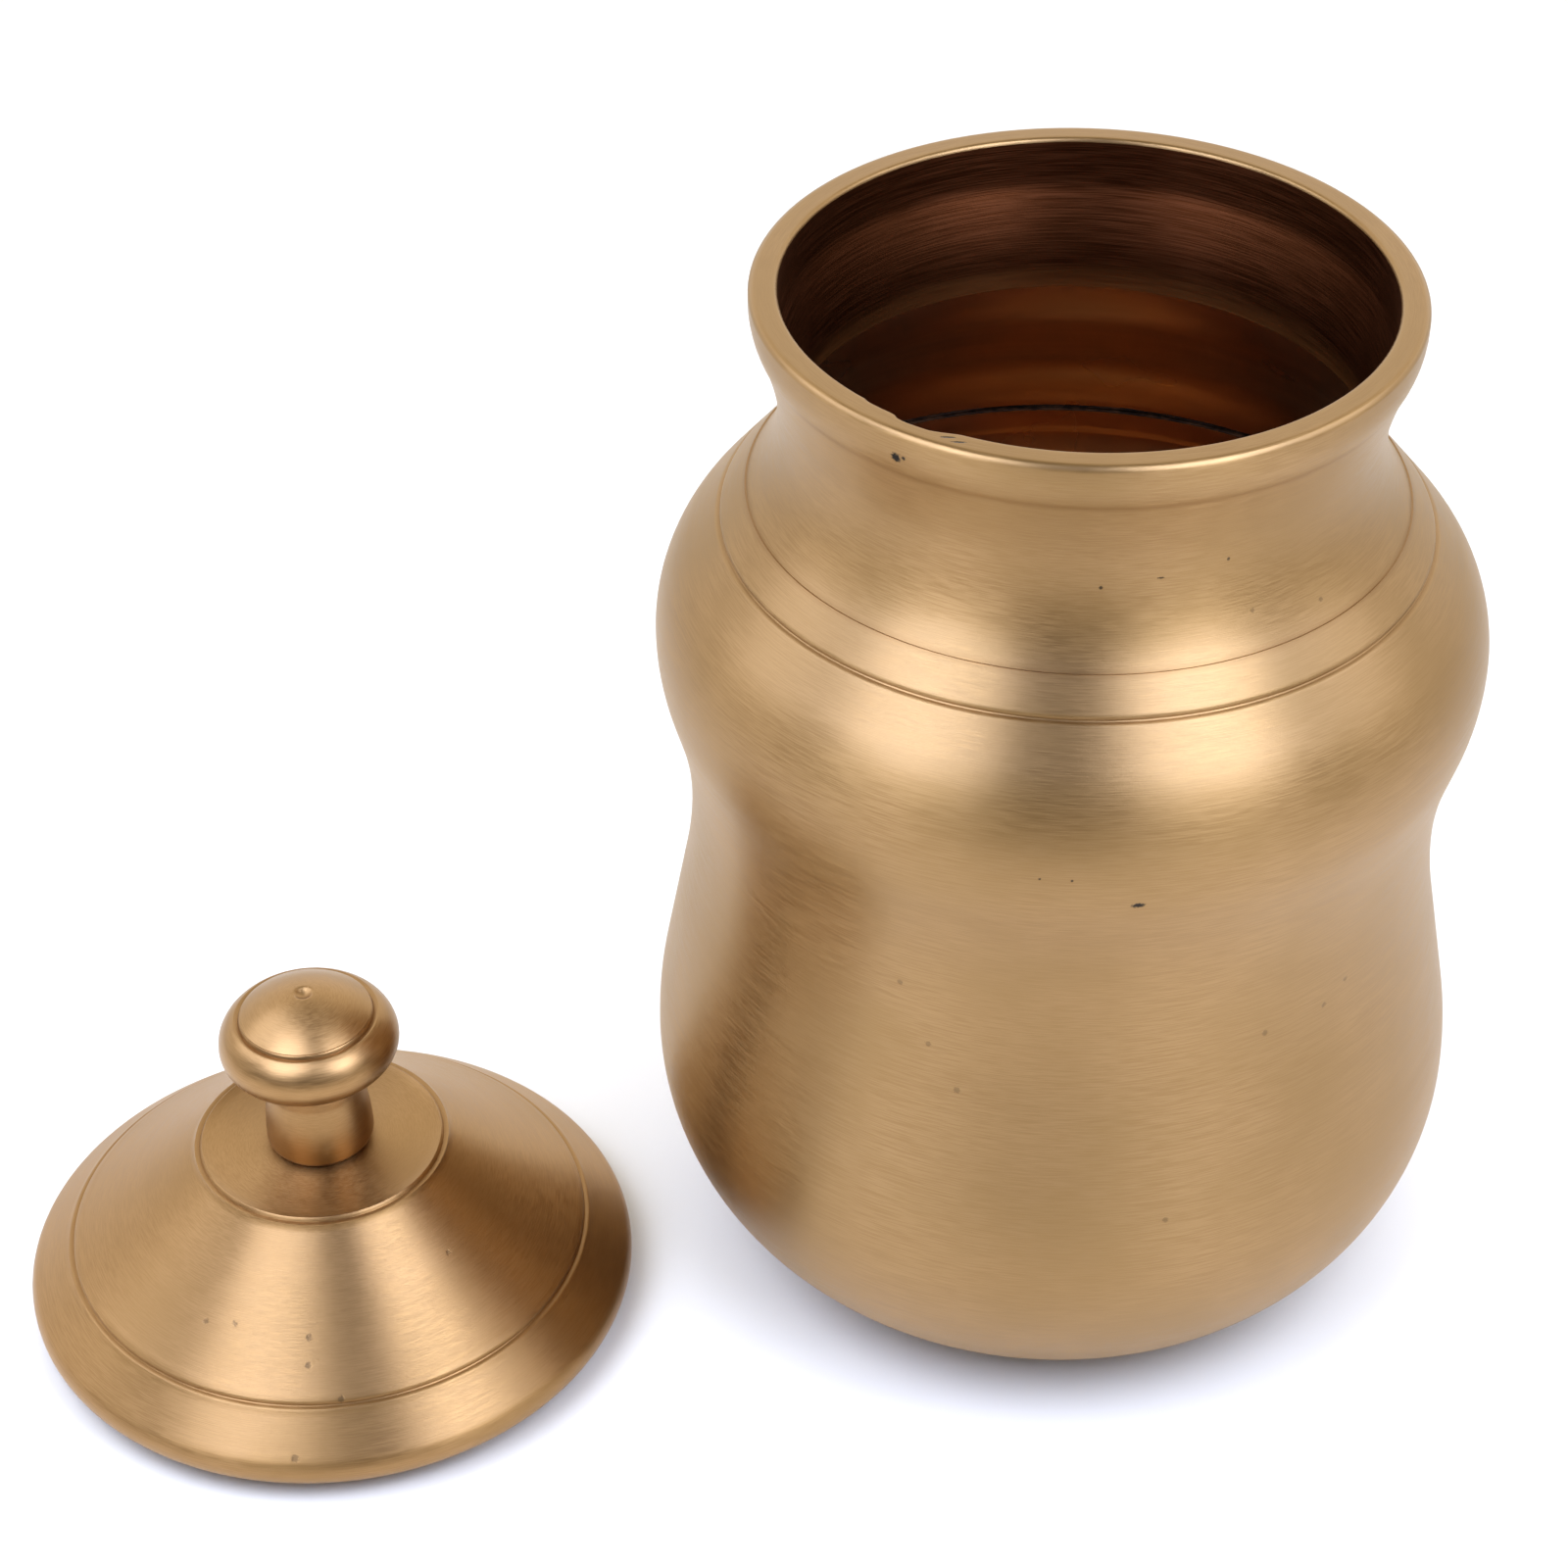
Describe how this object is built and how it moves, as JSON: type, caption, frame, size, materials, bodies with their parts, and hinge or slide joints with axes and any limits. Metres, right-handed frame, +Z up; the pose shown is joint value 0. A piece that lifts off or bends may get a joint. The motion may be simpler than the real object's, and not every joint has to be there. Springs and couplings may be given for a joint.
{
  "type": "brass kalash pot",
  "caption": "Turned brass kalash pot with a flared neck, a waist and a rounded belly, and a loose lid with a knob lying beside it.",
  "frame": {"origin": "centre of the pot's flat base, on the surface it stands on", "axes": "+Z up along the pot's axis, out of its mouth; the lid lies towards -X and -Y"},
  "size_m": [0.2106, 0.1384, 0.16],
  "materials": {
    "satin_brass": "satin, brushed round the axis on the lathe",
    "plain_brass": "plain, as turned or rolled, a little dull",
    "dark_braze": "dark oxidised brazing filler"
  },
  "bodies": {
    "pot": {"upper_shell": "satin_brass", "lower_shell": "satin_brass", "seam_braze": "dark_braze"},
    "lid": {"lid_shell": "satin_brass", "register_ring": "plain_brass", "knob": "satin_brass", "knob_washer": "plain_brass", "knob_screw": "plain_brass"}
  },
  "joints": [
    {"name": "lid_lift", "type": "slide", "parent": "pot", "child": "lid", "axis": [0, 0, 1], "range_m": [0, 0.17]}
  ]
}
